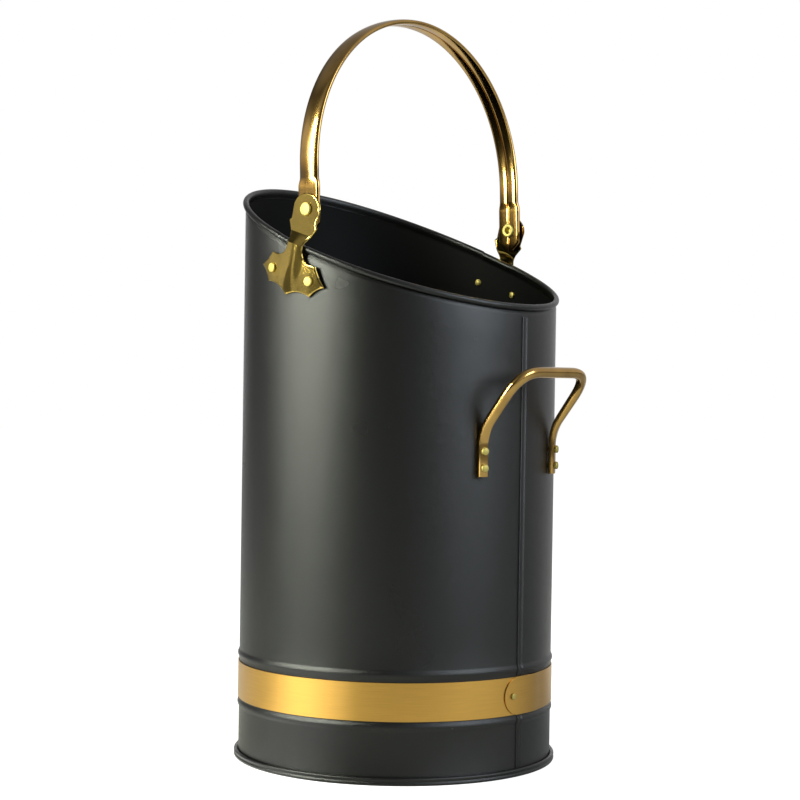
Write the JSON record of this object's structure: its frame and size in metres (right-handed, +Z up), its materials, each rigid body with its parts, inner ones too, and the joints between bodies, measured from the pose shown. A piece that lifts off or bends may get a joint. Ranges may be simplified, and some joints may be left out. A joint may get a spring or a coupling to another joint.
{
  "type": "log carrier",
  "caption": "Tall round painted steel hearth carrier with a slanted wired mouth, a swinging brass bail on stamped ears, a rear tipping handle and a brass band.",
  "frame": {"origin": "on the body's axis, at the level the foot stands on", "axes": "+Z up along the body's axis; -Y toward the high pouring lip, +Y toward the rear handle; the bail's ears stand at +X and -X"},
  "size_m": [0.2612, 0.2868, 0.5878],
  "materials": {
    "black_painted_steel": "satin black paint",
    "drawn_steel_wire": "plain drawn wire",
    "brushed_brass_strip": "brushed, satin",
    "lacquered_brass": "polished and lacquered, aged",
    "bright_brass": "bright brass rivets"
  },
  "bodies": {
    "root": {"body_shell": "black_painted_steel", "rim_wire": "drawn_steel_wire", "base_pan": "black_painted_steel", "brass_band": "brushed_brass_strip", "ear_right": "lacquered_brass", "ear_left": "lacquered_brass", "rear_handle": "lacquered_brass", "band_rivet": "bright_brass", "ear_rivet_right_front": "bright_brass", "ear_rivet_right_rear": "bright_brass", "ear_rivet_left_front": "bright_brass", "ear_rivet_left_rear": "bright_brass", "handle_rivet_right_lower": "bright_brass", "handle_rivet_right_upper": "bright_brass", "handle_rivet_left_lower": "bright_brass", "handle_rivet_left_upper": "bright_brass", "pivot_rivet_right": "bright_brass", "pivot_rivet_left": "bright_brass"},
    "bail": {"bail_handle": "lacquered_brass"}
  },
  "joints": [
    {"name": "bail_swing", "type": "hinge", "parent": "root", "child": "bail", "pos_m": [0, 0.01462, 0.4284], "axis": [1, 0, 0], "range_deg": [-131, 82]}
  ]
}
